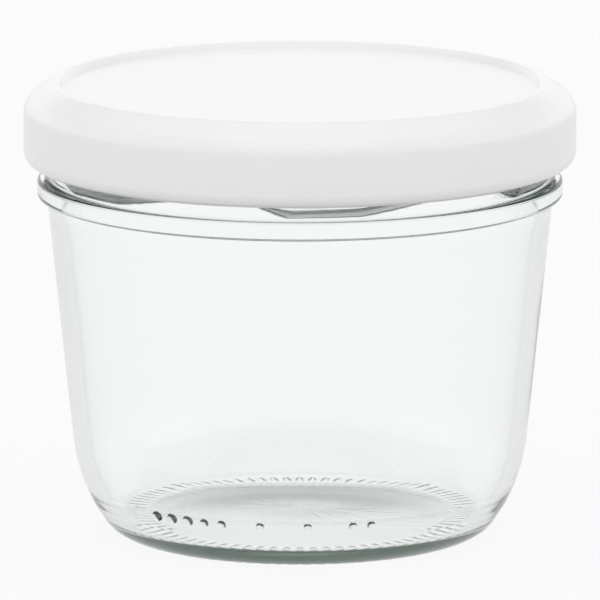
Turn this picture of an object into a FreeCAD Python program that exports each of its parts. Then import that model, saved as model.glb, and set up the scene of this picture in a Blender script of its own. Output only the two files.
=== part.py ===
import FreeCAD, Part
import math
import os

# Tumbler jar of clear glass with a six-lug twist-off lid of lacquered tinplate.
# Millimetres, +Z up. The origin is the middle of the foot, on the table.
# Azimuths are in degrees from the front (-Y), growing towards the right (+X).

# --- glass jar: body ---
jar_height = 69.8             # table to sealing rim
body_top_radius = 39.45       # outside of the wall, just under the bead
wall_taper_deg = 5.9          # lean of the wall from upright
glass_wall = 2.5
floor_height = 3.4            # table to the inside of the floor
inner_corner_radius = 1.5     # inside, floor to heel
inner_heel_radius = 21.0      # inside, heel to wall
heel_radius = 26.0            # slow bend of the wall above the foot
heel_turn_deg = 36.0          # lean at which the slow bend passes to the foot bend
foot_radius = 5.6             # quick bend down to the table

# --- glass jar: foot ---
bearing_width = 2.4           # flat ring that stands on the table
push_up_height = 1.2          # hollow under the floor, at its middle
push_up_flat = 9.0            # radius of the level middle of that hollow
knurl_count = 80
knurl_depth = 0.40
knurl_width = 1.15            # width of one groove between two ridges

# --- glass jar: finish, the part that the lid grips ---
finish_height = 13.7          # top of the bead to the sealing rim
bead_height = 2.7
bead_proud = 1.45             # bead beyond the wall below it
bead_top_round = 0.5          # upper edge of the bead
bead_foot_round = 0.35        # its lower edge, sharper
neck_step = 1.9               # bead beyond the neck above it
rim_wall = 2.7                # glass thickness at the rim
rim_round = 0.95
bore_depth = 12.6             # straight part of the mouth
bore_blend = 5.0              # height over which the mouth opens to the wall

# --- twist-off thread: six short ribs ---
thread_count = 6
thread_radius = 1.8           # half the height of a rib
thread_proud = 1.35           # rib beyond the neck
thread_gap = 0.3              # bead to the low end of a rib
thread_start_deg = -10.5      # azimuth of the low end of the first rib
seat_span_deg = 24.5          # nearly level stretch that holds the lug
seat_rise = 0.4               # rise along that stretch
lead_span_deg = 26.0          # steeper stretch where the lug runs in
lead_rise = 2.6
thread_end_deg = 8.5          # run-out of the rib at each end
rib_lap_deg = 1.5             # how far the two stretches run into each other

# --- mould dots on the heel ---
dot_height = 7.4
dot_proud = 0.35
dot_root = 1.0                # how deep a dot runs into the wall
large_dot_radius = 0.78
small_dot_radius = 0.60
large_dots_deg = (-41.0, -36.0, -31.0)
small_dots_deg = (-26.0, -21.0, -10.5, 2.0, 14.0, 19.0)

# --- lid ---
tin = 0.25                    # lacquered sheet
skirt_clearance = 2.4         # thread to the inside of the skirt
skirt_gap = 2.4               # bead to the rolled edge
lining_thickness = 1.15       # sealing compound cured into the crown
lining_overlap = 0.7          # compound beyond the rim, each side
panel_drop = 0.9              # centre panel below the crown
panel_edge = 0.5              # rim bore to the panel's step
step_width = 0.6              # slope of that step, seen from above
crown_width = 1.3             # level top of the crown
crown_slope_width = 1.6       # first slope, down to the knuckle
crown_slope_drop = 1.15
shoulder_width = 1.6          # second slope
shoulder_drop = 1.1
shoulder_round = 1.9
roll_height = 1.8             # rolled edge
roll_clearance = 0.3          # thread to the rolled edge
roll_round = 2.1
lug_width = 7.0
lug_height = 1.15
lug_clearance = 0.35          # neck to the tip of a lug
lug_lift = 0.15               # underside of a lug above the rolled edge
lug_root = 0.4                # how far a lug runs into the rolled edge
lug_round = 1.0               # its two inner corners

# --- worked out from the above ---
taper = math.tan(math.radians(wall_taper_deg))
bead_top = jar_height - finish_height
bead_bottom = bead_top - bead_height
bead_radius = body_top_radius + bead_proud
neck_radius = bead_radius - neck_step
bore_radius = neck_radius - rim_wall
thread_outer = neck_radius + thread_proud
skirt_inside = thread_outer + skirt_clearance
lid_radius = skirt_inside + tin
crown_top = jar_height + lining_thickness + tin
panel_top = crown_top - panel_drop
lid_bottom = bead_top + skirt_gap
roll_inside = thread_outer + roll_clearance


def wall_radius(z):
    """Outside radius of the straight wall at height z."""
    return body_top_radius - (bead_bottom - z) * taper


def rounded_face(corners):
    """Closed face in the XZ plane. Each corner is (radius, height, rounding)."""
    points = [FreeCAD.Vector(r, 0, z) for r, z, rounding in corners]
    edges = []
    start = None
    last = None
    for i, corner in enumerate(corners):
        here = points[i]
        entry = here
        leave = here
        bend = None
        if corner[2] > 0:
            back = (points[i - 1] - here).normalize()
            ahead = (points[(i + 1) % len(points)] - here).normalize()
            half = back.getAngle(ahead) / 2
            inward = (back + ahead).normalize()
            entry = here + back * (corner[2] / math.tan(half))
            leave = here + ahead * (corner[2] / math.tan(half))
            middle = here + inward * (corner[2] / math.sin(half) - corner[2])
            bend = Part.Arc(entry, middle, leave).toShape()
        if start is None:
            start = entry
        elif last.distanceToPoint(entry) > 1e-4:
            edges.append(Part.makeLine(last, entry))
        if bend is not None:
            edges.append(bend)
        last = leave
    if last.distanceToPoint(start) > 1e-4:
        edges.append(Part.makeLine(last, start))
    return Part.Face(Part.Wire(edges))


def spun(corners):
    """Solid of revolution about the vertical axis."""
    return rounded_face(corners).revolve(FreeCAD.Vector(0, 0, 0), FreeCAD.Vector(0, 0, 1), 360)


def turned(shape, azimuth_deg):
    """Copy of a shape drawn towards +X, turned to an azimuth."""
    copy = shape.copy()
    copy.rotate(FreeCAD.Vector(0, 0, 0), FreeCAD.Vector(0, 0, 1), azimuth_deg - 90)
    return copy


def heel_corners():
    """Corners of the outside between the table and the straight wall."""
    lean = math.radians(wall_taper_deg)
    turn = math.radians(heel_turn_deg)
    # the foot bend ends at this height, and the heel bend begins there
    join_z = foot_radius * (1 - math.sin(turn))
    wall_z = join_z + heel_radius * (math.sin(turn) - math.sin(lean))
    join_r = wall_radius(wall_z) - heel_radius * (math.cos(lean) - math.cos(turn))
    flat_r = join_r - foot_radius * math.cos(turn)
    foot = flat_r + foot_radius * math.tan((math.pi / 2 - turn) / 2)
    heel_z = wall_z - heel_radius * math.tan((turn - lean) / 2) * math.cos(lean)
    return flat_r, (foot, 0, foot_radius), (wall_radius(heel_z), heel_z, heel_radius)


def heel_point(z):
    """Radius and outward lean of the heel bend at height z."""
    turn = math.radians(heel_turn_deg)
    lean = math.radians(wall_taper_deg)
    wall_z = foot_radius * (1 - math.sin(turn)) + heel_radius * (math.sin(turn) - math.sin(lean))
    angle = math.asin(math.sin(lean) + (wall_z - z) / heel_radius)
    radius = wall_radius(wall_z) - heel_radius * (math.cos(lean) - math.cos(angle))
    return radius, angle


def inside_corners():
    """Corners of the inside between the floor and the wall, one wall thickness in from the heel."""
    slope = math.tan(math.radians(heel_turn_deg))
    foot_r = heel_corners()[1][0]
    slope_r = foot_r - glass_wall * math.cos(math.radians(heel_turn_deg))
    slope_z = glass_wall * math.sin(math.radians(heel_turn_deg))
    wall_r = wall_radius(0) - glass_wall
    heel_z = (wall_r - slope_r + slope_z * slope) / (slope - taper)
    heel = (wall_r + heel_z * taper, heel_z, inner_heel_radius)
    floor = (slope_r + (floor_height - slope_z) * slope, floor_height, inner_corner_radius)
    return heel, floor


def glass_body():
    """Jar wall, floor, bead and rim, without thread, knurls and dots."""
    flat_r, foot, heel = heel_corners()
    ring_inside = flat_r - bearing_width
    corner_round = min(0.5, bead_proud * 0.4)
    inner_top = bead_bottom - 1.0
    inner_wall = wall_radius(inner_top) - glass_wall
    inner_heel, floor_edge = inside_corners()
    return spun([
        (0, push_up_height, 0),
        (push_up_flat, push_up_height, 60.0),
        (ring_inside, 0, 10.0),
        foot,
        heel,
        (body_top_radius, bead_bottom, corner_round),
        (bead_radius, bead_bottom, bead_foot_round),
        (bead_radius, bead_top, bead_top_round),
        (neck_radius, bead_top, 0.5),
        (neck_radius, jar_height, rim_round),
        (bore_radius, jar_height, rim_round),
        (bore_radius, jar_height - bore_depth, 8.0),
        (inner_wall, jar_height - bore_depth - bore_blend, 8.0),
        inner_heel,
        floor_edge,
        (0, floor_height, 0),
    ])


def rib_arc(start_deg, span_deg, low_z, rise):
    """Round bar along the neck, climbing evenly towards the right."""
    middle_radius = thread_outer - thread_radius
    half = math.radians(span_deg) / 2
    tilt = math.degrees(math.asin(rise / 2 / (middle_radius * math.sin(half))))
    centre = FreeCAD.Vector(middle_radius, 0, 0)
    disc = Part.Face(Part.Wire(Part.makeCircle(thread_radius, centre, FreeCAD.Vector(0, 1, 0))))
    disc.rotate(FreeCAD.Vector(0, 0, 0), FreeCAD.Vector(0, 0, 1), -span_deg / 2 - rib_lap_deg)
    bar = disc.revolve(FreeCAD.Vector(0, 0, 0), FreeCAD.Vector(0, 0, 1), span_deg + 2 * rib_lap_deg)
    bar.rotate(FreeCAD.Vector(0, 0, 0), FreeCAD.Vector(1, 0, 0), tilt)
    bar = turned(bar, start_deg + span_deg / 2)
    bar.translate(FreeCAD.Vector(0, 0, low_z + rise / 2))
    return bar


def thread_rib(start_deg):
    """One thread rib: a nearly level seat and a steeper lead-in, run out at both ends."""
    low_z = bead_top + thread_gap + thread_radius
    seat = rib_arc(start_deg, seat_span_deg, low_z, seat_rise)
    lead = rib_arc(start_deg + seat_span_deg, lead_span_deg, low_z + seat_rise, lead_rise)
    end_deg = start_deg + seat_span_deg + lead_span_deg

    def at(radius, azimuth_deg):
        angle = math.radians(azimuth_deg - 90)
        return FreeCAD.Vector(radius * math.cos(angle), radius * math.sin(angle), bead_top)

    reach = thread_proud + thread_radius * 0.6
    plan = Part.makePolygon([
        FreeCAD.Vector(0, 0, bead_top),
        at(neck_radius, start_deg),
        at(neck_radius + reach * 3, start_deg + thread_end_deg * 3),
        at(neck_radius + reach * 3, end_deg - thread_end_deg * 3),
        at(neck_radius, end_deg),
        FreeCAD.Vector(0, 0, bead_top),
    ])
    sector = Part.Face(plan).extrude(FreeCAD.Vector(0, 0, finish_height))
    return seat.fuse(lead).common(sector)


def mould_dot(azimuth_deg, radius):
    """Small rounded stud standing square to the heel."""
    surface_r, lean = heel_point(dot_height)
    outward = FreeCAD.Vector(math.cos(lean), 0, -math.sin(lean))
    root = FreeCAD.Vector(surface_r, 0, dot_height) - outward * dot_root
    stud = Part.makeCylinder(radius, dot_root + dot_proud, root, outward)
    top = max(stud.Edges, key=lambda edge: edge.CenterOfMass.dot(outward))
    return turned(stud.makeFillet(dot_proud * 0.8, [top]), azimuth_deg)


def knurl_grooves():
    """Radial grooves across the bearing ring."""
    flat_r = heel_corners()[0]
    start_r = flat_r - bearing_width
    length = bearing_width + 3.0
    groove_r = (knurl_width ** 2 / 4 + knurl_depth ** 2) / (2 * knurl_depth)
    grooves = []
    for i in range(knurl_count):
        bar = Part.makeCylinder(
            groove_r, length, FreeCAD.Vector(start_r, 0, knurl_depth - groove_r), FreeCAD.Vector(1, 0, 0))
        grooves.append(turned(bar, i * 360 / knurl_count))
    return grooves


def make_jar():
    jar = glass_body()
    ribs = [thread_rib(thread_start_deg + i * 360 / thread_count) for i in range(thread_count)]
    dots = [mould_dot(a, large_dot_radius) for a in large_dots_deg]
    dots += [mould_dot(a, small_dot_radius) for a in small_dots_deg]
    jar = jar.fuse(ribs + dots)
    return jar.cut(knurl_grooves())


def lid_shell():
    """Pressed sheet with the rolled edge and the sealing compound in the crown."""
    step_r = bore_radius + panel_edge
    crown_r = step_r + step_width
    crown_end = crown_r + crown_width
    knuckle_r = crown_end + crown_slope_width
    knuckle_z = crown_top - crown_slope_drop
    shoulder_r = knuckle_r + shoulder_width
    shoulder_z = knuckle_z - shoulder_drop
    skirt_z = shoulder_z - (lid_radius - shoulder_r) * 1.4
    roll_top = lid_bottom + roll_height
    return spun([
        (0, panel_top, 0),
        (step_r, panel_top, 0.3),
        (crown_r, crown_top, 0.4),
        (crown_end, crown_top, 0.8),
        (knuckle_r, knuckle_z, 0.6),
        (shoulder_r, shoulder_z, 0.6),
        (lid_radius, skirt_z, shoulder_round),
        (lid_radius, lid_bottom, roll_round),
        (roll_inside, lid_bottom, 0.2),
        (roll_inside, roll_top, 0.7),
        (skirt_inside, roll_top, 0.2),
        (skirt_inside, skirt_z - tin * 0.4, shoulder_round - tin),
        (shoulder_r - tin * 0.5, shoulder_z - tin * 0.9, 0.4),
        (knuckle_r - tin * 0.5, knuckle_z - tin, 0),
        (neck_radius + lining_overlap, jar_height, 0),
        (bore_radius + rim_round - lining_overlap, jar_height, 0),
        (bore_radius + rim_round - lining_overlap, panel_top - tin, 0),
        (0, panel_top - tin, 0),
    ])


def lid_lug(azimuth_deg):
    """One lug: the rolled edge pressed inwards to a flat tongue."""
    tip = neck_radius + lug_clearance
    root = roll_inside + lug_root
    block = Part.makeBox(
        root - tip, lug_width, lug_height, FreeCAD.Vector(tip, -lug_width / 2, lid_bottom + lug_lift))
    upright = []
    for edge in block.Edges:
        a, b = [vertex.Point for vertex in edge.Vertexes]
        if abs(a.x - tip) < 1e-6 and abs(b.x - tip) < 1e-6 and abs(a.y - b.y) < 1e-6:
            upright.append(edge)
    return turned(block.makeFillet(lug_round, upright), azimuth_deg)


def make_lid():
    lid = lid_shell()
    # midway between the end of one rib and the start of the next
    lug_deg = thread_start_deg + (seat_span_deg + lead_span_deg + 360 / thread_count) / 2
    lugs = [lid_lug(lug_deg + i * 360 / thread_count) for i in range(thread_count)]
    return lid.fuse(lugs)


def save(name, shape):
    solid = shape.removeSplitter()
    if len(solid.Solids) != 1 or not solid.isValid():
        raise RuntimeError(name + " is not one valid solid")
    solid = solid.Solids[0]
    solid.exportStep("parts/" + name + ".step")
    box = solid.BoundBox
    print(name, "volume", round(solid.Volume / 1000, 2), "cm3, box", round(box.XLength, 2),
          round(box.YLength, 2), round(box.ZMin, 2), round(box.ZMax, 2))


os.makedirs("parts", exist_ok=True)
save("glass_jar", make_jar())
save("lid", make_lid())
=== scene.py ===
import bpy
import bmesh
import math
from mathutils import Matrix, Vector


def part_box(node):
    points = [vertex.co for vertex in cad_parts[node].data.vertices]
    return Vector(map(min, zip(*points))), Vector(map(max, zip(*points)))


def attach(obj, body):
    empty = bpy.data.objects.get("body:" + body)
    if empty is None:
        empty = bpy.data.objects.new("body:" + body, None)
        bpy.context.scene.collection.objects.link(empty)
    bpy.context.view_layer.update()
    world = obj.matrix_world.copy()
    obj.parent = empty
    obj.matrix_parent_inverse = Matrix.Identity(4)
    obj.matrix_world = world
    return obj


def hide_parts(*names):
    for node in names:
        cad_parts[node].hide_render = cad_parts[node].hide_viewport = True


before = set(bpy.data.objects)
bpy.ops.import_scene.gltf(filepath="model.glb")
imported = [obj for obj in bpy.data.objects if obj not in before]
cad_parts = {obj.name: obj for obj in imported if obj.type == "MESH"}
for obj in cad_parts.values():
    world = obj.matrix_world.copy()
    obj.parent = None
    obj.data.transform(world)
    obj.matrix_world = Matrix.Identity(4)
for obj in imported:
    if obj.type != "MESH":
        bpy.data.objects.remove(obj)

scene = bpy.context.scene
mm = 0.001
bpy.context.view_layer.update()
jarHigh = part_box("glass_jar")[1]
lidLow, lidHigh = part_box("lid")


def hexColour(code):
    # sRGB hex to linear
    parts = [int(code[i:i + 2], 16) / 255 for i in (1, 3, 5)]
    linear = [p / 12.92 if p <= 0.04045 else ((p + 0.055) / 1.055) ** 2.4 for p in parts]
    return (*linear, 1.0)


def addNode(tree, kind, settings=None, *sources, **links):
    # settings are node properties and socket values; sources feed the first inputs, links the named ones;
    # each source is an output socket or a plain value, and the node's outputs come back
    node = tree.nodes.new(kind)
    for key, value in (settings or {}).items():
        if isinstance(key, int) or key in node.inputs:
            node.inputs[key].default_value = value
        else:
            setattr(node, key, value)
    for key, source in [*enumerate(sources), *links.items()]:
        socket = node.inputs[key if isinstance(key, int) else key.replace("_", " ")]
        if isinstance(source, bpy.types.NodeSocket):
            tree.links.new(source, socket)
        else:
            socket.default_value = source
    return node.outputs


def newMaterial(name):
    material = bpy.data.materials.new(name)
    material.use_nodes = True
    material.node_tree.nodes.clear()
    return material, material.node_tree


def roundedPath(corners, stepDeg):
    # (radius, height, rounding) corners in mm to a smooth open path of points
    points = [Vector((r, z)) for r, z, rounding in corners]
    path = [points[0]]
    for i in range(1, len(points) - 1):
        here = points[i]
        rounding = corners[i][2]
        if rounding <= 0:
            path.append(here)
            continue
        back = (points[i - 1] - here).normalized()
        ahead = (points[i + 1] - here).normalized()
        half = back.angle(ahead) / 2
        centre = here + (back + ahead).normalized() * (rounding / math.sin(half))
        first = here + back * (rounding / math.tan(half)) - centre
        last = here + ahead * (rounding / math.tan(half)) - centre
        sweep = math.pi - 2 * half
        steps = max(2, math.ceil(math.degrees(sweep) / stepDeg))
        turn = 1 if first.x * last.y - first.y * last.x > 0 else -1
        for k in range(steps + 1):
            angle = turn * sweep * k / steps
            cosine, sine = math.cos(angle), math.sin(angle)
            turned = Vector((first.x * cosine - first.y * sine, first.x * sine + first.y * cosine))
            path.append(centre + turned)
    path.append(points[-1])
    clean = [path[0]]
    for point in path[1:]:
        if (point - clean[-1]).length > 1e-4:
            clean.append(point)
    return clean


def denser(path, spacing):
    # extra points so that no two lie further apart than spacing(point)
    out = [path[0]]
    for a, b in zip(path, path[1:]):
        count = max(1, math.ceil((b - a).length / spacing((a + b) / 2)))
        out += [a.lerp(b, k / count) for k in range(1, count + 1)]
    return out


def stitch(mesh, lower, upper):
    # faces between two rings; the longer ring's count is a multiple of the shorter one's
    if len(lower) == 1 or len(upper) == 1:
        pole, ring = (lower[0], upper) if len(lower) == 1 else (upper[0], lower)
        for k in range(len(ring)):
            mesh.faces.new((pole, ring[k], ring[(k + 1) % len(ring)]))
        return
    few, many = (lower, upper) if len(lower) <= len(upper) else (upper, lower)
    times = len(many) // len(few)
    for k in range(len(few)):
        nextFew = few[(k + 1) % len(few)]
        fan = [many[(k * times + j) % len(many)] for j in range(times + 1)]
        if times == 1:
            mesh.faces.new((few[k], nextFew, fan[1], fan[0]))
            continue
        middle = times // 2
        for j in range(times):
            mesh.faces.new((few[k] if j < middle else nextFew, fan[j + 1], fan[j]))
        mesh.faces.new((few[k], nextFew, fan[middle]))


def pieceFromMesh(name, mesh):
    # a smooth piece at the origin, with its faces outwards
    bmesh.ops.recalc_face_normals(mesh, faces=mesh.faces)
    data = bpy.data.meshes.new(name)
    mesh.to_mesh(data)
    mesh.free()
    data.shade_smooth()
    piece = bpy.data.objects.new(name, data)
    scene.collection.objects.link(piece)
    return piece


def ringPoint(radius, height, turn):
    # radius and height in mm, turn in radians from the front
    return (radius * mm * math.sin(turn), -radius * mm * math.cos(turn), height * mm)


def spunMesh(name, path, segmentsAt, closed=False):
    # turns a path round the axis; rings of unlike counts are stitched, ends on the axis become poles
    mesh = bmesh.new()
    rings = []
    for point in path:
        count = 1 if point.x < 1e-5 else segmentsAt(len(rings), point)
        turns = [math.tau * k / count for k in range(count)]
        rings.append([mesh.verts.new(ringPoint(point.x, point.y, turn)) for turn in turns])
    pairs = list(zip(rings, rings[1:]))
    if closed:
        pairs.append((rings[-1], rings[0]))
    for lower, upper in pairs:
        stitch(mesh, lower, upper)
    return pieceFromMesh(name, mesh)


def meshFromModifiers(piece):
    # turns what the modifiers make into the piece's own plain mesh
    graph = bpy.context.evaluated_depsgraph_get()
    data = bpy.data.meshes.new_from_object(piece.evaluated_get(graph), depsgraph=graph)
    piece.modifiers.clear()
    old = piece.data
    piece.data = data
    bpy.data.meshes.remove(old)


def setInputs(modifier, values):
    # the modifier's inputs are set by socket identifier
    for item in modifier.node_group.interface.items_tree:
        if item.item_type == "SOCKET" and item.in_out == "INPUT" and item.name in values:
            modifier[item.identifier] = values[item.name]


# moulded glass, in mm and degrees
glassSet = {
    "wallTaperDeg": 5.9, "wallThickness": 2.5, "floorHeight": 3.4, "innerCorner": 1.5, "innerHeel": 21.0,
    "heelRadius": 26.0, "heelTurnDeg": 36.0, "footRadius": 5.6,
    "bearingWidth": 2.4, "pushUp": 1.2, "pushUpFlat": 9.0, "pushUpRound": 60.0, "ringRound": 10.0,
    "finishHeight": 13.7, "beadHeight": 2.7, "beadProud": 1.45, "neckStep": 1.9,
    "beadRootRound": 0.5, "beadTopRound": 0.5, "beadFootRound": 0.35,
    "rimWall": 2.7, "rimRound": 0.95, "boreDepth": 12.6, "boreBlend": 5.0, "boreRound": 8.0, "boreFoot": 1.0,
    "knurlCount": 80, "knurlDepth": 0.40, "knurlWidth": 1.15, "knurlFade": 3.4, "knurlRunOut": 3.0,
    "ribCount": 6, "ribHalfHeight": 2.15, "ribProud": 1.35, "ribGap": 0.3, "ribStartDeg": -10.5,
    "seatDeg": 24.5, "seatRise": 0.4, "leadDeg": 26.0, "leadRise": 2.6, "ribEndDeg": 8.5,
    "dotHeight": 7.4, "dotProud": 0.65, "largeDot": 0.85, "smallDot": 0.68,
    "largeDotsDeg": (-41, -36, -31), "smallDotsDeg": (-26, -21, -10.5, 2, 14, 19),
    "waviness": 0.10, "waveSize": 24.0, "waveSeed": 3.0, "waveFade": 8.0,
    # mesh: points in a ring and where they are dense, then how far apart the rings lie and where
    "dense": 720, "outer": 360, "denseBelow": 9.0, "denseBeyond": 20.0, "arcStepDeg": 10.0,
    "plainRings": 3.0, "knurlRings": 0.35, "knurlBelow": 1.0, "ribRings": 0.36, "neckInset": 0.3,
    "dotRings": 0.22, "dotBand": 1.2, "dotInset": 1.5, "dotReach": 1.4, "dotCuts": 2,
}


def glassSizes(s):
    # radii and heights in mm, worked out from the frame's box and the settings
    beadR = jarHigh.x / mm
    top = jarHigh.z / mm
    size = {"beadR": beadR, "top": top, "beadTop": top - s["finishHeight"]}
    size["beadBottom"] = size["beadTop"] - s["beadHeight"]
    size["wallR"] = beadR - s["beadProud"]
    size["neckR"] = beadR - s["neckStep"]
    size["boreR"] = size["neckR"] - s["rimWall"]
    lean, turn = math.radians(s["wallTaperDeg"]), math.radians(s["heelTurnDeg"])
    wallAt = lambda z: size["wallR"] - (size["beadBottom"] - z) * math.tan(lean)
    joinZ = s["footRadius"] * (1 - math.sin(turn))
    wallZ = joinZ + s["heelRadius"] * (math.sin(turn) - math.sin(lean))
    joinR = wallAt(wallZ) - s["heelRadius"] * (math.cos(lean) - math.cos(turn))
    size["flatR"] = joinR - s["footRadius"] * math.cos(turn)
    size["ringIn"] = size["flatR"] - s["bearingWidth"]
    size["footCorner"] = size["flatR"] + s["footRadius"] * math.tan((math.pi / 2 - turn) / 2)
    heelZ = wallZ - s["heelRadius"] * math.tan((turn - lean) / 2) * math.cos(lean)
    size["heelCorner"] = (wallAt(heelZ), heelZ)
    angle = math.asin(math.sin(lean) + (wallZ - s["dotHeight"]) / s["heelRadius"])
    size["dotR"] = wallAt(wallZ) - s["heelRadius"] * (math.cos(lean) - math.cos(angle))
    # the inside keeps one wall away from the heel's slope, down to the floor
    slope, taper, wall = math.tan(turn), math.tan(lean), s["wallThickness"]
    slopeR, slopeZ = size["footCorner"] - wall * math.cos(turn), wall * math.sin(turn)
    innerZ = (wallAt(0) - wall - slopeR + slopeZ * slope) / (slope - taper)
    size["innerHeel"] = (wallAt(innerZ) - wall, innerZ)
    size["innerTop"] = wallAt(size["beadBottom"] - s["boreFoot"]) - wall
    size["floorEdge"] = slopeR + (s["floorHeight"] - slopeZ) * slope
    return size


def glassPath(s, size):
    # from the middle of the underside, up the outside, over the rim and down to the middle of the floor
    boreEnd = size["top"] - s["boreDepth"]
    return roundedPath([
        (0, s["pushUp"], 0),
        (s["pushUpFlat"], s["pushUp"], s["pushUpRound"]),
        (size["ringIn"], 0, s["ringRound"]),
        (size["footCorner"], 0, s["footRadius"]),
        (*size["heelCorner"], s["heelRadius"]),
        (size["wallR"], size["beadBottom"], s["beadRootRound"]),
        (size["beadR"], size["beadBottom"], s["beadFootRound"]),
        (size["beadR"], size["beadTop"], s["beadTopRound"]),
        (size["neckR"], size["beadTop"], s["beadRootRound"]),
        (size["neckR"], size["top"], s["rimRound"]),
        (size["boreR"], size["top"], s["rimRound"]),
        (size["boreR"], boreEnd, s["boreRound"]),
        (size["innerTop"], boreEnd - s["boreBlend"], s["boreRound"]),
        (*size["innerHeel"], s["innerHeel"]),
        (size["floorEdge"], s["floorHeight"], s["innerCorner"]),
        (0, s["floorHeight"], 0),
    ], s["arcStepDeg"])


def dotMarks(s, size):
    # a point in the middle of each mould dot, with the dot's radius, for the relief
    spots = [(a, s["largeDot"]) for a in s["largeDotsDeg"]] + [(a, s["smallDot"]) for a in s["smallDotsDeg"]]
    middles = [ringPoint(size["dotR"], s["dotHeight"], math.radians(a)) for a, radius in spots]
    marks = bpy.data.meshes.new("dotMarks")
    marks.from_pydata(middles, [], [])
    radii = marks.attributes.new("dotRadius", "FLOAT", "POINT")
    for value, (a, radius) in zip(radii.data, spots):
        value.value = radius * mm
    piece = bpy.data.objects.new("dotMarks", marks)
    scene.collection.objects.link(piece)
    return piece


def refineNear(piece, spots, reach, cuts):
    # finer faces round each spot, so that small marks keep their edge
    mesh = bmesh.new()
    mesh.from_mesh(piece.data)
    close = [f for f in mesh.faces if any((f.calc_center_median() - spot).length < reach for spot in spots)]
    edges = list({edge for f in close for edge in f.edges})
    bmesh.ops.subdivide_edges(mesh, edges=edges, cuts=cuts, use_grid_fill=True)
    mesh.to_mesh(piece.data)
    mesh.free()
    piece.data.shade_smooth()


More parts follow.
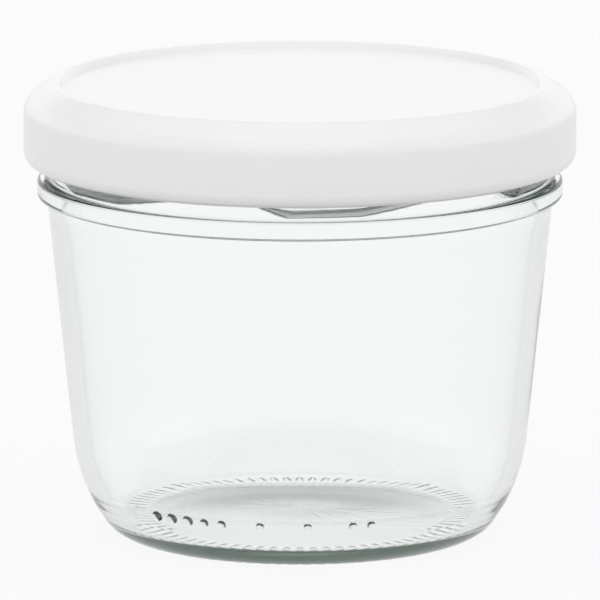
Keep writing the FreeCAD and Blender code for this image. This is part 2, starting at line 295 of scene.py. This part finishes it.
def reliefTree():
    # knurls under the foot, thread ribs round the neck, mould dots on the heel, slow waves on the inside
    tree = bpy.data.node_groups.new("mouldRelief", "GeometryNodeTree")
    face = tree.interface
    face.new_socket("Geometry", in_out="INPUT", socket_type="NodeSocketGeometry")
    for name in ("Knurl Count", "Knurl Depth", "Knurl Width", "Knurl Inner", "Knurl Full", "Knurl Outer",
                 "Rib Count", "Rib Start", "Rib Proud", "Rib Half Height", "Rib Low", "Rib End",
                 "Seat Span", "Seat Rise", "Lead Span", "Lead Rise", "Bead Top", "Neck Radius",
                 "Dot Proud", "Wave Depth", "Wave Scale", "Wave Seed", "Wave Fade",
                 "Inner Radius", "Floor Top", "Bed Height", "Bed Radius"):
        face.new_socket(name, in_out="INPUT", socket_type="NodeSocketFloat")
    face.new_socket("Dots", in_out="INPUT", socket_type="NodeSocketObject")
    for name in ("Material", "Bed Material"):
        face.new_socket(name, in_out="INPUT", socket_type="NodeSocketMaterial")
    face.new_socket("Geometry", in_out="OUTPUT", socket_type="NodeSocketGeometry")
    given = addNode(tree, "NodeGroupInput")
    plus, minus, times, over = ({"operation": name} for name in ("ADD", "SUBTRACT", "MULTIPLY", "DIVIDE"))
    above, below = {"operation": "GREATER_THAN"}, {"operation": "LESS_THAN"}
    minusToZero = {"operation": "SUBTRACT", "use_clamp": True}     # never under zero
    smooth = {"interpolation_type": "SMOOTHSTEP"}
    ribPower, dotPower = 0.7, 0.35      # a bump's sides are steeper than a plain parabola's
    hair = 0.06 * mm                    # this near to the neck's wall counts as on it

    place = addNode(tree, "GeometryNodeInputPosition")[0]
    normal = addNode(tree, "GeometryNodeInputNormal")[0]
    x, y, z = addNode(tree, "ShaderNodeSeparateXYZ", None, place)
    level = addNode(tree, "ShaderNodeCombineXYZ", None, x, y)[0]
    radius = addNode(tree, "ShaderNodeVectorMath", {"operation": "LENGTH"}, level)["Value"]
    forward = addNode(tree, "ShaderNodeMath", times, y, -1.0)[0]
    angle = addNode(tree, "ShaderNodeMath", {"operation": "ARCTAN2"}, x, forward)[0]      # from the front

    # knurls: scalloped grooves, which only lift what lies lower than their roof
    pitch = addNode(tree, "ShaderNodeMath", over, math.tau, given["Knurl Count"])[0]
    oneSide = addNode(tree, "ShaderNodeMath", times, pitch, -0.5)[0]
    otherSide = addNode(tree, "ShaderNodeMath", times, pitch, 0.5)[0]
    turn = addNode(tree, "ShaderNodeMath", {"operation": "WRAP"}, angle, oneSide, otherSide)[0]
    offset = addNode(tree, "ShaderNodeMath", times, turn, radius)[0]
    halfWidth = addNode(tree, "ShaderNodeMath", times, given["Knurl Width"], 0.5)[0]
    across = addNode(tree, "ShaderNodeMath", over, offset, halfWidth)[0]
    square = addNode(tree, "ShaderNodeMath", times, across, across)[0]
    scallop = addNode(tree, "ShaderNodeMath", minus, 1.0, square)[0]
    fadeIn = addNode(tree, "ShaderNodeMapRange", smooth,
                     radius, given["Knurl Inner"], given["Knurl Full"])[0]
    within = addNode(tree, "ShaderNodeMath", below, radius, given["Knurl Outer"])[0]
    onRing = addNode(tree, "ShaderNodeMath", times, fadeIn, within)[0]
    roof = addNode(tree, "ShaderNodeMath", times, given["Knurl Depth"], scallop)[0]
    roof = addNode(tree, "ShaderNodeMath", times, roof, onRing)[0]
    lift = addNode(tree, "ShaderNodeMath", minusToZero, roof, z)[0]
    grooved = addNode(tree, "ShaderNodeMath", above, roof, 0.0)[0]
    lift = addNode(tree, "ShaderNodeMath", times, lift, grooved)[0]

    # ribs: one soft bump along a climbing line, run out at both ends
    share = addNode(tree, "ShaderNodeMath", over, math.tau, given["Rib Count"])[0]
    fromStart = addNode(tree, "ShaderNodeMath", minus, angle, given["Rib Start"])[0]
    along = addNode(tree, "ShaderNodeMath", {"operation": "WRAP"}, fromStart, 0.0, share)[0]
    span = addNode(tree, "ShaderNodeMath", plus, given["Seat Span"], given["Lead Span"])[0]
    seatClimb = addNode(tree, "ShaderNodeMapRange", None, along,
                        From_Max=given["Seat Span"], To_Max=given["Seat Rise"])[0]
    leadClimb = addNode(tree, "ShaderNodeMapRange", None, along, given["Seat Span"], span,
                        To_Max=given["Lead Rise"])[0]
    climb = addNode(tree, "ShaderNodeMath", plus, seatClimb, leadClimb)[0]
    line = addNode(tree, "ShaderNodeMath", plus, climb, given["Rib Low"])[0]
    toEnd = addNode(tree, "ShaderNodeMath", minus, span, along)[0]
    ends = addNode(tree, "ShaderNodeMath", {"operation": "MINIMUM"}, along, toEnd)[0]
    fade = addNode(tree, "ShaderNodeMapRange", None, ends, From_Max=given["Rib End"])[0]
    tall = addNode(tree, "ShaderNodeMath", times, given["Rib Half Height"], fade)[0]
    tall = addNode(tree, "ShaderNodeMath", {"operation": "MAXIMUM"}, tall, 1e-6)[0]
    away = addNode(tree, "ShaderNodeMath", minus, z, line)[0]
    away = addNode(tree, "ShaderNodeMath", over, away, tall)[0]
    square = addNode(tree, "ShaderNodeMath", times, away, away)[0]
    bump = addNode(tree, "ShaderNodeMath", minusToZero, 1.0, square)[0]
    bump = addNode(tree, "ShaderNodeMath", {"operation": "POWER"}, bump, ribPower)[0]
    slim = addNode(tree, "ShaderNodeMath", {"operation": "POWER"}, fade, ribPower)[0]
    overBead = addNode(tree, "ShaderNodeMath", above, z, given["Bead Top"])[0]
    onNeck = addNode(tree, "ShaderNodeMath", {"operation": "COMPARE"},
                     radius, given["Neck Radius"], hair)[0]
    onNeck = addNode(tree, "ShaderNodeMath", times, overBead, onNeck)[0]
    rib = addNode(tree, "ShaderNodeMath", times, bump, given["Rib Proud"])[0]
    rib = addNode(tree, "ShaderNodeMath", times, rib, slim)[0]
    rib = addNode(tree, "ShaderNodeMath", times, rib, onNeck)[0]

    # dots: steep low domes round the nearest mark
    marks = addNode(tree, "GeometryNodeObjectInfo", None, given["Dots"])["Geometry"]
    nearest = addNode(tree, "GeometryNodeSampleNearest", {"domain": "POINT"}, marks)[0]
    markPlace = addNode(tree, "GeometryNodeInputPosition")[0]
    centre = addNode(tree, "GeometryNodeSampleIndex", {"data_type": "FLOAT_VECTOR"},
                     Geometry=marks, Value=markPlace, Index=nearest)[0]
    markRadius = addNode(tree, "GeometryNodeInputNamedAttribute",
                         {"data_type": "FLOAT", "Name": "dotRadius"})[0]
    reach = addNode(tree, "GeometryNodeSampleIndex", {"data_type": "FLOAT"},
                    Geometry=marks, Value=markRadius, Index=nearest)[0]
    gap = addNode(tree, "ShaderNodeVectorMath", {"operation": "DISTANCE"}, place, centre)["Value"]
    near = addNode(tree, "ShaderNodeMath", over, gap, reach)[0]
    square = addNode(tree, "ShaderNodeMath", times, near, near)[0]
    dome = addNode(tree, "ShaderNodeMath", minusToZero, 1.0, square)[0]
    dome = addNode(tree, "ShaderNodeMath", {"operation": "POWER"}, dome, dotPower)[0]
    dome = addNode(tree, "ShaderNodeMath", times, dome, given["Dot Proud"])[0]

    # waves: the inside is blown, not pressed, so its wall is a little uneven
    wave = addNode(tree, "ShaderNodeTexNoise", {"noise_dimensions": "4D", "Detail": 1.0},
                   Vector=place, W=given["Wave Seed"], Scale=given["Wave Scale"])[0]
    wave = addNode(tree, "ShaderNodeMath", minus, wave, 0.5)[0]
    swing = addNode(tree, "ShaderNodeMath", times, given["Wave Depth"], 2.0)[0]
    wave = addNode(tree, "ShaderNodeMath", times, wave, swing)[0]
    depth = addNode(tree, "ShaderNodeMath", minus, given["Bead Top"], z)[0]
    deep = addNode(tree, "ShaderNodeMapRange", smooth, depth, From_Max=given["Wave Fade"])[0]
    facing = addNode(tree, "ShaderNodeVectorMath", {"operation": "DOT_PRODUCT"}, normal, level)["Value"]
    inside = addNode(tree, "ShaderNodeMath", below, facing, 0.0)[0]
    onWall = addNode(tree, "ShaderNodeMath", below, radius, given["Inner Radius"])[0]
    overFloor = addNode(tree, "ShaderNodeMath", above, z, given["Floor Top"])[0]
    inner = addNode(tree, "ShaderNodeMath", times, inside, onWall)[0]
    inner = addNode(tree, "ShaderNodeMath", times, inner, overFloor)[0]
    wave = addNode(tree, "ShaderNodeMath", times, wave, deep)[0]
    wave = addNode(tree, "ShaderNodeMath", times, wave, inner)[0]

    # ribs move points straight outwards, dots and waves along the surface's normal, knurls upwards
    outward = addNode(tree, "ShaderNodeVectorMath", {"operation": "NORMALIZE"}, level)[0]
    ribMove = addNode(tree, "ShaderNodeVectorMath", {"operation": "SCALE"}, outward, Scale=rib)[0]
    push = addNode(tree, "ShaderNodeMath", plus, dome, wave)[0]
    pushMove = addNode(tree, "ShaderNodeVectorMath", {"operation": "SCALE"}, normal, Scale=push)[0]
    liftMove = addNode(tree, "ShaderNodeCombineXYZ", None, Z=lift)[0]
    total = addNode(tree, "ShaderNodeVectorMath", plus, ribMove, pushMove)[0]
    total = addNode(tree, "ShaderNodeVectorMath", plus, total, liftMove)[0]
    moved = addNode(tree, "GeometryNodeSetPosition", None, given["Geometry"], Offset=total)[0]
    real = addNode(tree, "GeometryNodeRealizeInstances", None, moved)[0]
    dressed = addNode(tree, "GeometryNodeSetMaterial", None, real, Material=given["Material"])[0]
    low = addNode(tree, "ShaderNodeMath", below, z, given["Bed Height"])[0]
    middle = addNode(tree, "ShaderNodeMath", below, radius, given["Bed Radius"])[0]
    bed = addNode(tree, "ShaderNodeMath", times, low, middle)[0]
    dressed = addNode(tree, "GeometryNodeSetMaterial", None, dressed, bed, given["Bed Material"])[0]
    addNode(tree, "NodeGroupOutput", None, dressed)
    return tree


def makeGlass(s, size, material, bedMaterial):
    def spacing(point):
        if point.y < s["knurlBelow"] and point.x > s["denseBeyond"]:
            return s["knurlRings"]
        if abs(point.y - s["dotHeight"]) < s["dotBand"] and point.x > size["dotR"] - s["dotInset"]:
            return s["dotRings"]
        if point.y > size["beadTop"] and point.x > size["neckR"] - s["neckInset"]:
            return s["ribRings"]
        return s["plainRings"]

    path = denser(glassPath(s, size), spacing)
    rim = max(range(len(path)), key=lambda i: path[i].y)

    def segmentsAt(i, point):
        fine = i <= rim and point.x >= s["denseBeyond"] and point.y < s["denseBelow"]
        return s["dense"] if fine else s["outer"]

    jar = spunMesh("moulded_jar", path, segmentsAt)
    marks = dotMarks(s, size)
    spots = [v.co.copy() for v in marks.data.vertices]
    refineNear(jar, spots, s["largeDot"] * s["dotReach"] * mm, s["dotCuts"])
    relief = jar.modifiers.new("mouldRelief", "NODES")
    relief.node_group = reliefTree()
    # the last two lines mark off the inside wall, its floor and the underside
    lengths = {
        "Knurl Depth": s["knurlDepth"], "Knurl Width": s["knurlWidth"], "Knurl Inner": size["ringIn"],
        "Knurl Full": size["ringIn"] + s["knurlFade"], "Knurl Outer": size["flatR"] + s["knurlRunOut"],
        "Rib Proud": s["ribProud"], "Rib Half Height": s["ribHalfHeight"],
        "Rib Low": size["beadTop"] + s["ribGap"] + s["ribHalfHeight"],
        "Seat Rise": s["seatRise"], "Lead Rise": s["leadRise"],
        "Bead Top": size["beadTop"], "Neck Radius": size["neckR"], "Dot Proud": s["dotProud"],
        "Wave Depth": s["waviness"], "Wave Fade": s["waveFade"],
        "Inner Radius": size["neckR"] - 1.0, "Floor Top": s["floorHeight"] - 0.02,
        "Bed Height": s["pushUp"] + 0.3, "Bed Radius": size["flatR"] + 0.4,
    }
    turns = {"Rib Start": s["ribStartDeg"], "Rib End": s["ribEndDeg"],
             "Seat Span": s["seatDeg"], "Lead Span": s["leadDeg"]}
    setInputs(relief, {name: length * mm for name, length in lengths.items()})
    setInputs(relief, {name: math.radians(turn) for name, turn in turns.items()})
    setInputs(relief, {
        "Knurl Count": s["knurlCount"], "Rib Count": s["ribCount"],
        "Wave Scale": 1 / (s["waveSize"] * mm), "Wave Seed": s["waveSeed"],
        "Dots": marks, "Material": material, "Bed Material": bedMaterial,
    })
    meshFromModifiers(jar)
    bpy.data.objects.remove(marks)
    print("glass:", len(path), "rings,", sum(len(f.vertices) - 2 for f in jar.data.polygons), "triangles")
    return jar


# twist-off lid, in mm and degrees
lidSet = {
    "tin": 0.25, "liningOverlap": 0.7, "liningSlope": 0.9, "liningSide": 0.25, "liningRound": 0.3,
    "panelDrop": 0.9, "panelEdge": 0.5, "stepWidth": 0.6, "crownWidth": 1.3,
    "slopeWidth": 1.6, "slopeDrop": 1.15, "shoulderWidth": 1.6, "shoulderDrop": 1.1, "shoulderRound": 1.9,
    "skirtSlope": 1.4, "panelRound": 0.6, "stepRound": 0.45, "crownRound": 1.3, "knuckleRound": 1.6,
    "breakRound": 1.2,
    "rollClear": 1.65, "rollHeight": 1.8, "rollBend": 2.1, "rollInner": 0.55, "rollTop": 0.8,
    "lugCount": 6, "lugDeg": 44.75, "lugWidth": 7.0, "lugHeight": 1.15, "lugLift": 0.15, "lugGap": 0.35,
    "lugRoot": 2.05, "lugTip": 0.5, "lugFlat": 0.72, "lugColumns": 14, "lugArc": 8,
    # mesh: points in a ring and how far apart the rings lie
    "segments": 360, "rings": 2.5, "liningSegments": 240, "liningRings": 0.8, "arcStepDeg": 12.0,
}


def lidPath(s, size):
    # the sheet's outside from the middle of the panel to the rolled edge, and back along its inside
    lidR, bottom, top = lidHigh.x / mm, lidLow.z / mm, lidHigh.z / mm
    stepR = size["boreR"] + s["panelEdge"]
    crownR = stepR + s["stepWidth"]
    crownEnd = crownR + s["crownWidth"]
    knuckleR, knuckleZ = crownEnd + s["slopeWidth"], top - s["slopeDrop"]
    shoulderR, shoulderZ = knuckleR + s["shoulderWidth"], knuckleZ - s["shoulderDrop"]
    skirtZ = shoulderZ - (lidR - shoulderR) * s["skirtSlope"]
    panel = top - s["panelDrop"]
    rollIn, rollTop = size["neckR"] + s["rollClear"], bottom + s["rollHeight"]
    tin = s["tin"]
    return roundedPath([
        (0, panel, 0),
        (stepR, panel, s["panelRound"]),
        (crownR, top, s["stepRound"]),
        (crownEnd, top, s["crownRound"]),
        (knuckleR, knuckleZ, s["knuckleRound"]),
        (shoulderR, shoulderZ, s["breakRound"]),
        (lidR, skirtZ, s["shoulderRound"]),
        (lidR, bottom, s["rollBend"]),
        (rollIn, bottom, s["rollInner"]),
        (rollIn, rollTop, s["rollTop"]),
        # the inside, one sheet's thickness in from the outside
        (lidR - tin, rollTop, 0.2),
        (lidR - tin, skirtZ - tin * 0.4, s["shoulderRound"] - tin),
        (shoulderR - tin * 0.5, shoulderZ - tin * 0.9, 0.4),
        (knuckleR - tin * 0.5, knuckleZ - tin, 0.4),
        (crownEnd, top - tin, 0.5),
        (crownR + tin, top - tin, 0.2),
        (stepR + tin, panel - tin, 0.2),
        (0, panel - tin, 0),
    ], s["arcStepDeg"])


def makeLid(s, size, material):
    path = denser(lidPath(s, size), lambda point: s["rings"])
    lid = spunMesh("pressed_lid", path, lambda i, point: s["segments"])
    lid.data.materials.append(material)
    print("lid:", len(path), "rings,", len(lid.data.polygons), "faces")
    return lid


def lugTree():
    # one pressed lug, turned round the axis as often as the lid has lugs
    tree = bpy.data.node_groups.new("lidLugs", "GeometryNodeTree")
    face = tree.interface
    face.new_socket("Geometry", in_out="INPUT", socket_type="NodeSocketGeometry")
    for name in ("Count", "Turn"):
        face.new_socket(name, in_out="INPUT", socket_type="NodeSocketFloat")
    face.new_socket("Material", in_out="INPUT", socket_type="NodeSocketMaterial")
    face.new_socket("Geometry", in_out="OUTPUT", socket_type="NodeSocketGeometry")
    given = addNode(tree, "NodeGroupInput")
    spots = addNode(tree, "GeometryNodePoints", None, given["Count"])[0]
    order = addNode(tree, "GeometryNodeInputIndex")[0]
    share = addNode(tree, "ShaderNodeMath", {"operation": "DIVIDE"}, math.tau, given["Count"])[0]
    angle = addNode(tree, "ShaderNodeMath", {"operation": "MULTIPLY_ADD"}, order, share, given["Turn"])[0]
    turn = addNode(tree, "ShaderNodeCombineXYZ", None, Z=angle)[0]
    copies = addNode(tree, "GeometryNodeInstanceOnPoints", None,
                     Points=spots, Instance=given["Geometry"], Rotation=turn)[0]
    real = addNode(tree, "GeometryNodeRealizeInstances", None, copies)[0]
    dressed = addNode(tree, "GeometryNodeSetMaterial", None, real, Material=given["Material"])[0]
    addNode(tree, "NodeGroupOutput", None, dressed)
    return tree


def lugSection(s, reach, root, bottom):
    # radius and height round the tongue, from its root over the rolled tip and back
    edge = [(root, bottom)]
    for k in range(s["lugArc"] + 1):
        bend = math.pi * k / s["lugArc"]
        edge.append((reach + s["lugTip"] * (1 - math.sin(bend)),
                     bottom + s["lugHeight"] * (1 - math.cos(bend)) / 2))
    return edge + [(root, bottom + s["lugHeight"])]


def makeLugs(s, size, material):
    # a tongue with a rolled tip, drawn at the front, then repeated
    bottom = lidLow.z / mm + s["lugLift"]
    tip = size["neckR"] + s["lugGap"]
    root = size["neckR"] + s["lugRoot"]
    shortest = root - s["lugTip"] - 0.1 - tip
    mesh = bmesh.new()
    rows = []
    for i in range(s["lugColumns"] + 1):
        side = -1 + 2 * i / s["lugColumns"]
        reach = tip + shortest * max(0.0, (abs(side) - s["lugFlat"]) / (1 - s["lugFlat"])) ** 2
        turn = side * s["lugWidth"] / 2 / root
        rows.append([mesh.verts.new(ringPoint(r, z, turn)) for r, z in lugSection(s, reach, root, bottom)])
    for a, b in zip(rows, rows[1:]):
        for k in range(len(a)):
            mesh.faces.new((a[k - 1], b[k - 1], b[k], a[k]))
    mesh.faces.new(rows[0])
    mesh.faces.new(list(reversed(rows[-1])))
    lugs = pieceFromMesh("lid_lugs", mesh)
    repeat = lugs.modifiers.new("lidLugs", "NODES")
    repeat.node_group = lugTree()
    setInputs(repeat, {
        "Count": float(s["lugCount"]), "Turn": math.radians(s["lugDeg"]), "Material": material})
    meshFromModifiers(lugs)
    print("lugs:", s["lugCount"], "tongues,", len(lugs.data.polygons), "faces")
    return lugs


def makeLining(s, size, rimRound, material):
    # cured compound in the crown, resting on the rim
    hair = 0.02      # keeps it off the glass and the sheet
    top = lidHigh.z / mm - s["tin"] - hair
    knuckle = lidHigh.z / mm - s["slopeDrop"] - s["tin"]
    seat = size["top"] + hair
    inner = size["boreR"] + rimRound - s["liningOverlap"]
    outer = size["neckR"] + s["liningOverlap"]
    crownEnd = size["boreR"] + s["panelEdge"] + s["stepWidth"] + s["crownWidth"]
    path = roundedPath([
        (inner + s["liningSlope"], top, 0),
        (inner + s["liningSide"], seat, s["liningRound"]),
        (outer, seat, s["liningRound"]),
        (outer + s["liningSide"], knuckle, 0),
        (crownEnd, top, 0),
    ], s["arcStepDeg"])
    path = denser(path, lambda point: s["liningRings"])
    ring = spunMesh("crown_lining", path, lambda i, point: s["liningSegments"], closed=True)
    ring.data.materials.append(material)
    print("lining:", len(ring.data.polygons), "faces")
    return ring


def glassMaterial(name, roughness):
    # soda-lime container glass: sharp clear surfaces, green only where light goes a long way through it;
    # roughness 0 is its fire-polished skin, more is the dull underside, chilled by the mould's cold iron
    material, tree = newMaterial(name)
    place = addNode(tree, "ShaderNodeTexCoord")["Object"]
    rippleSize = 6.25 * mm      # soft ripple left by the mould
    ripple = addNode(tree, "ShaderNodeTexNoise", {"Scale": 1 / rippleSize, "Detail": 1.0}, place)[0]
    bump = addNode(tree, "ShaderNodeBump", {"Strength": 0.10, "Distance": 0.02 * mm}, Height=ripple)[0]
    shader = addNode(tree, "ShaderNodeBsdfPrincipled", {
        "Base Color": hexColour("#ffffff"), "Roughness": roughness, "IOR": 1.52, "Transmission Weight": 1.0,
    }, Normal=bump)[0]
    # shadow rays pass straight through, so that the glass throws a pale shadow
    clear = addNode(tree, "ShaderNodeBsdfTransparent", {"Color": hexColour("#f4f8f6")})[0]
    path = addNode(tree, "ShaderNodeLightPath")
    mixed = addNode(tree, "ShaderNodeMixShader", None, path["Is Shadow Ray"], shader, clear)[0]
    tint = addNode(tree, "ShaderNodeVolumeAbsorption", {"Color": hexColour("#b4dcc8"), "Density": 17.0})[0]
    addNode(tree, "ShaderNodeOutputMaterial", None, Surface=mixed, Volume=tint)
    return material


def lacquerMaterial():
    # stoved white lacquer on tinplate: smooth and glossy, with the faint orange peel of a rolled coat
    material, tree = newMaterial("stovedWhiteLacquer")
    place = addNode(tree, "ShaderNodeTexCoord")["Object"]
    cloudSize, peelSize = 16.667 * mm, 1.111 * mm      # uneven coat, orange peel
    cloud = addNode(tree, "ShaderNodeTexNoise", {"Scale": 1 / cloudSize, "Detail": 2.0}, place)[0]
    colour = addNode(tree, "ShaderNodeMix", {
        "data_type": "RGBA", 6: hexColour("#f3f3f2"), 7: hexColour("#f7f7f6")}, cloud)[2]
    gloss = addNode(tree, "ShaderNodeMapRange", {"To Min": 0.26, "To Max": 0.32}, cloud)[0]
    peel = addNode(tree, "ShaderNodeTexNoise", {"Scale": 1 / peelSize, "Detail": 2.0}, place)[0]
    bump = addNode(tree, "ShaderNodeBump", {"Strength": 0.06, "Distance": 0.02 * mm}, Height=peel)[0]
    shader = addNode(tree, "ShaderNodeBsdfPrincipled", {
        "IOR": 1.5, "Coat Weight": 0.4, "Coat Roughness": 0.1,
    }, Base_Color=colour, Roughness=gloss, Normal=bump)[0]
    addNode(tree, "ShaderNodeOutputMaterial", None, Surface=shader)
    return material


def liningMaterial():
    # cured plastisol sealing compound: soft off-white and dull, a little cloudy
    material, tree = newMaterial("curedPlastisol")
    place = addNode(tree, "ShaderNodeTexCoord")["Object"]
    cloudSize = 3.333 * mm      # where the compound flowed thick and thin
    cloud = addNode(tree, "ShaderNodeTexNoise", {"Scale": 1 / cloudSize, "Detail": 3.0}, place)[0]
    colour = addNode(tree, "ShaderNodeMix", {
        "data_type": "RGBA", 6: hexColour("#d9d7d0"), 7: hexColour("#e6e4de")}, cloud)[2]
    shader = addNode(tree, "ShaderNodeBsdfPrincipled", {"Roughness": 0.6}, Base_Color=colour)[0]
    addNode(tree, "ShaderNodeOutputMaterial", None, Surface=shader)
    return material


# plain white studio; distances in metres, powers in watts, the sky's band by how steeply a ray rises
studioSet = {
    "cameraDistance": 1.5, "cameraHeight": 0.3245, "tiltDeg": 10.87, "focalLength": 586.9,
    "floorRadius": 4.0, "topPower": 1.13, "sidePower": 0.4, "skyFill": 0.95, "paperShare": 0.09,
    "skyLow": 0.25, "skyHigh": 0.55, "ceiling": 0.3, "firstMirrorShade": 0.9, "paintedMirrorShade": 0.85,
}


def backgroundRays(tree, path):
    # 1 for what the camera sees, straight or by way of glass and gloss, and 0 for plain light
    bent = addNode(tree, "ShaderNodeMath", {"operation": "MAXIMUM"},
                   path["Is Transmission Ray"], path["Is Glossy Ray"])[0]
    return addNode(tree, "ShaderNodeMath", {"operation": "MAXIMUM"}, path["Is Camera Ray"], bent)[0]


def innerMirrorShade(tree, path, loss):
    # painted shade: each mirror turn inside the glass, after the first, dims the floor's glow and the sky it
    # sees by this factor
    turns = addNode(tree, "ShaderNodeMath", {"operation": "SUBTRACT"}, path["Glossy Depth"], 1.0)[0]
    turns = addNode(tree, "ShaderNodeMath", {"operation": "MAXIMUM"}, turns, 0.0)[0]
    return addNode(tree, "ShaderNodeMath", {"operation": "POWER"}, loss, turns)[0]


def makeCamera(s):
    camera = bpy.data.objects.new("camera", bpy.data.cameras.new("camera"))
    camera.location = (0, -s["cameraDistance"], s["cameraHeight"])
    camera.rotation_euler = (math.radians(90 - s["tiltDeg"]), 0, 0)
    camera.data.sensor_width = 36
    camera.data.lens = s["focalLength"]
    camera.data.clip_end = 50
    scene.collection.objects.link(camera)
    scene.camera = camera
    scene.view_settings.view_transform = "Standard"
    # light turns many times inside thick glass
    scene.cycles.max_bounces = 32
    scene.cycles.glossy_bounces = 24
    scene.cycles.transmission_bounces = 32


def makeLamps(s):
    # square softboxes, all aimed at the middle of the jar
    aim = Vector((0, 0, 0.03))
    for name, where, side, power in (
            ("topSoftbox", (0.0, -0.45, 1.1), 1.0, s["topPower"]),
            ("leftSoftbox", (-1.1, -0.2, 0.6), 0.9, s["sidePower"]),
            ("rightSoftbox", (1.1, -0.2, 0.6), 0.9, s["sidePower"])):
        lamp = bpy.data.objects.new(name, bpy.data.lights.new(name, "AREA"))
        lamp.data.shape = "SQUARE"
        lamp.data.size = side
        lamp.data.energy = power
        lamp.location = where
        lamp.rotation_euler = (aim - Vector(where)).to_track_quat("-Z", "Y").to_euler()
        scene.collection.objects.link(lamp)


def makeFloor(s):
    # white paper sweep: it glows white to the camera, and a share of plain paper keeps the jar's shadow
    floor = spunMesh("floor", [Vector((0, 0)), Vector((s["floorRadius"] / mm, 0))], lambda i, point: 64)
    material, tree = newMaterial("whiteSweep")
    path = addNode(tree, "ShaderNodeLightPath")
    # painted shade: the floor's glow is dimmer where a mirror shows it, and dimmer again after each further
    # mirror turn inside the glass
    once = addNode(tree, "ShaderNodeMath", {"operation": "MINIMUM"}, path["Glossy Depth"], 1.0)[0]
    first = addNode(tree, "ShaderNodeMath", {"operation": "POWER"}, s["firstMirrorShade"], once)[0]
    later = innerMirrorShade(tree, path, s["paintedMirrorShade"])
    left = addNode(tree, "ShaderNodeMath", {"operation": "MULTIPLY"}, first, later)[0]
    share = addNode(tree, "ShaderNodeMath", {"operation": "MULTIPLY"},
                    backgroundRays(tree, path), 1 - s["paperShare"])[0]
    paper = addNode(tree, "ShaderNodeBsdfDiffuse", {"Color": hexColour("#d0d0d0")})[0]
    glow = addNode(tree, "ShaderNodeEmission", {"Color": hexColour("#ffffff")}, Strength=left)[0]
    mixed = addNode(tree, "ShaderNodeMixShader", None, share, paper, glow)[0]
    addNode(tree, "ShaderNodeOutputMaterial", None, Surface=mixed)
    floor.data.materials.append(material)


def makeSky(s):
    # even white all round, darker overhead for what glass and gloss show
    world = bpy.data.worlds.new("studio")
    world.use_nodes = True
    scene.world = world
    tree = world.node_tree
    tree.nodes.clear()
    path = addNode(tree, "ShaderNodeLightPath")
    ray = addNode(tree, "ShaderNodeTexCoord")["Generated"]
    up = addNode(tree, "ShaderNodeSeparateXYZ", None, ray)["Z"]
    shade = addNode(tree, "ShaderNodeMapRange", {"interpolation_type": "SMOOTHSTEP"}, up,
                    s["skyLow"], s["skyHigh"], 1.0, s["ceiling"])[0]
    shade = addNode(tree, "ShaderNodeMath", {"operation": "MULTIPLY"},
                    shade, innerMirrorShade(tree, path, s["paintedMirrorShade"]))[0]
    shade = addNode(tree, "ShaderNodeMath", {"operation": "MAXIMUM"}, shade, path["Is Camera Ray"])[0]
    strength = addNode(tree, "ShaderNodeMapRange", None, backgroundRays(tree, path),
                       To_Min=s["skyFill"], To_Max=shade)[0]
    sky = addNode(tree, "ShaderNodeBackground", {"Color": hexColour("#ffffff")}, Strength=strength)[0]
    addNode(tree, "ShaderNodeOutputWorld", None, Surface=sky)


makeCamera(studioSet)
makeLamps(studioSet)
makeFloor(studioSet)
makeSky(studioSet)
print("studio: camera, three softboxes, floor and sky")

glass = glassMaterial("flintContainerGlass", 0.0)
bedGlass = glassMaterial("mouldChilledGlass", 0.2)
lacquer = lacquerMaterial()
sizes = glassSizes(glassSet)
jar = makeGlass(glassSet, sizes, glass, bedGlass)
lid = makeLid(lidSet, sizes, lacquer)
lugs = makeLugs(lidSet, sizes, lacquer)
lining = makeLining(lidSet, sizes, glassSet["rimRound"], liningMaterial())

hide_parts("glass_jar")
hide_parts("lid")
for piece in (jar, lid, lugs, lining):
    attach(piece, "root")
